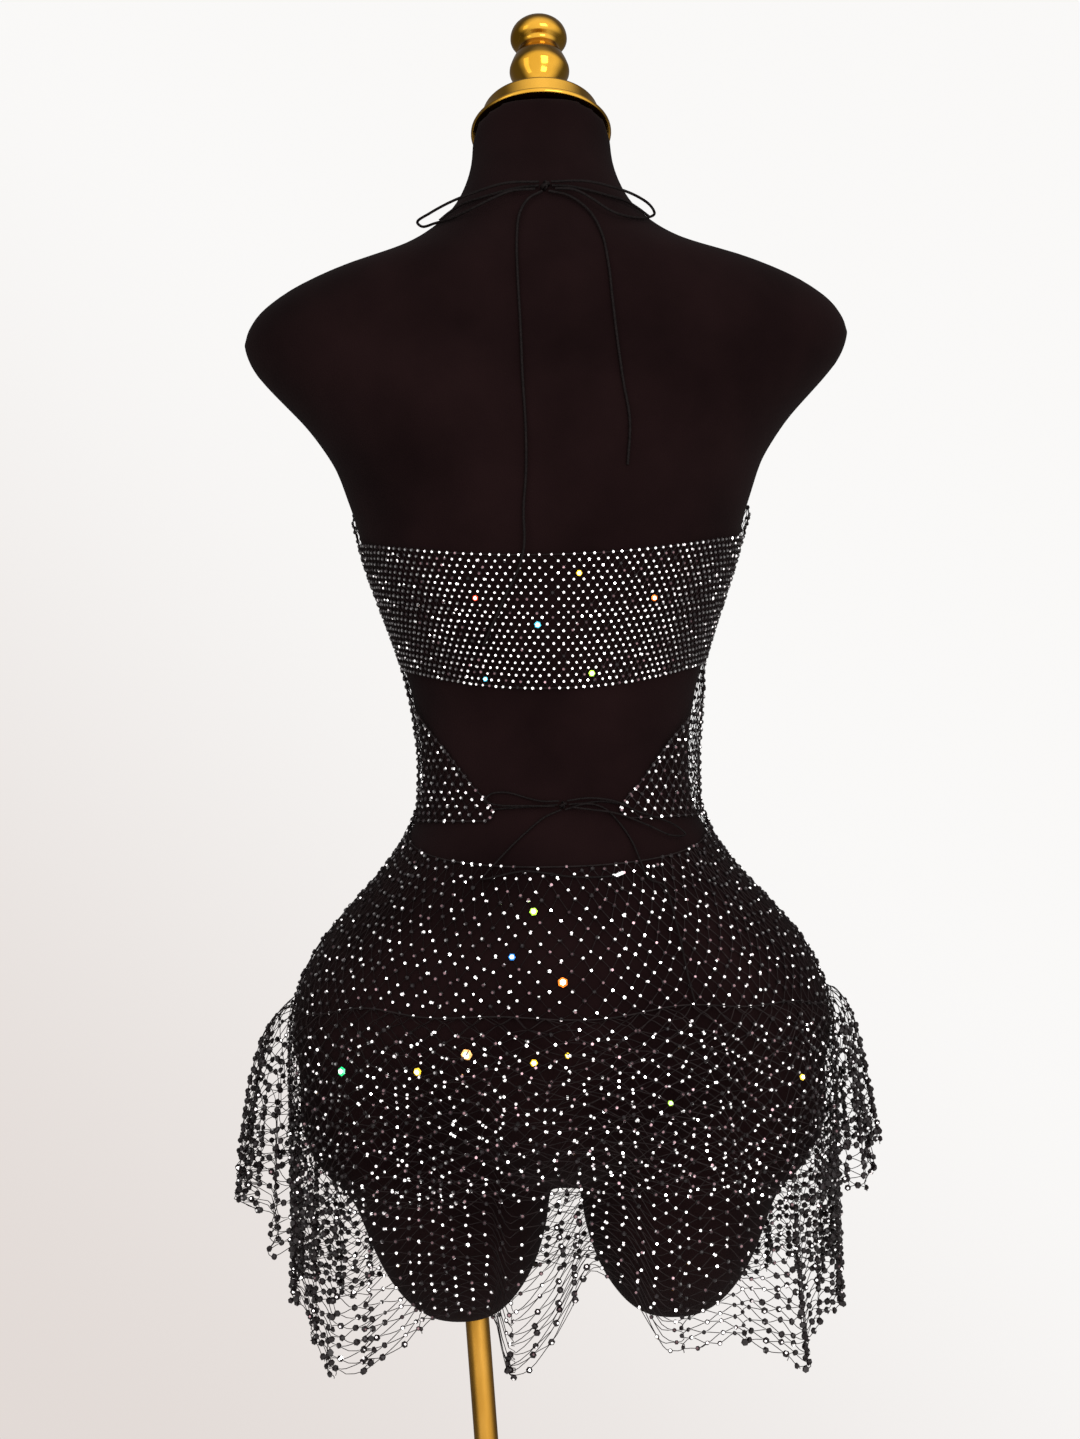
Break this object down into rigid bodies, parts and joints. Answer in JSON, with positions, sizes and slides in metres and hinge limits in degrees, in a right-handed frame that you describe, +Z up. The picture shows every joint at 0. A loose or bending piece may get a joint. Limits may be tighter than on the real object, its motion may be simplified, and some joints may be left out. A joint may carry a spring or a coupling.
{
  "type": "mini dress on a limbless dress form with a pole stand",
  "caption": "Backless halter mini dress of open rhinestone net with a ragged two-layer skirt, tied on a black limbless dress form on a leaning pole stand.",
  "frame": {"origin": "middle of the base's underside, on the floor", "axes": "+Z up, +Y towards the wearer's front, so the open back faces -Y; +X to the wearer's right"},
  "size_m": [0.4312, 0.34, 1.6462],
  "materials": {
    "net": "fine knotted black net with clear rhinestones in small black cups at its knots",
    "stone_mesh": "black mesh packed with rows of small clear rhinestones",
    "cord": "round black braided cord, slightly shiny",
    "jersey": "matt black stretch jersey pulled smooth over the form",
    "gold": "polished gold plate",
    "silver": "bright crimp"
  },
  "bodies": {
    "root": {"halter_front": "net", "back_band": "stone_mesh", "yoke_back": "net", "yoke_front": "net", "skirt_back": "net", "skirt_front": "net", "overskirt_back": "net", "overskirt_front": "net", "halter_strand_left": "cord", "halter_strand_right": "cord", "halter_loop_left": "cord", "halter_loop_right": "cord", "halter_tail_left": "cord", "halter_tail_right": "cord", "halter_knot": "cord", "waist_strand_left": "cord", "waist_strand_right": "cord", "waist_loop_left": "cord", "waist_loop_right": "cord", "waist_tail_left": "cord", "waist_tail_right": "cord", "waist_knot": "cord", "cord_tip": "silver", "dress_form": "jersey", "neck_cap": "gold", "finial": "gold", "pole": "gold", "base": "gold"}
  },
  "joints": []
}
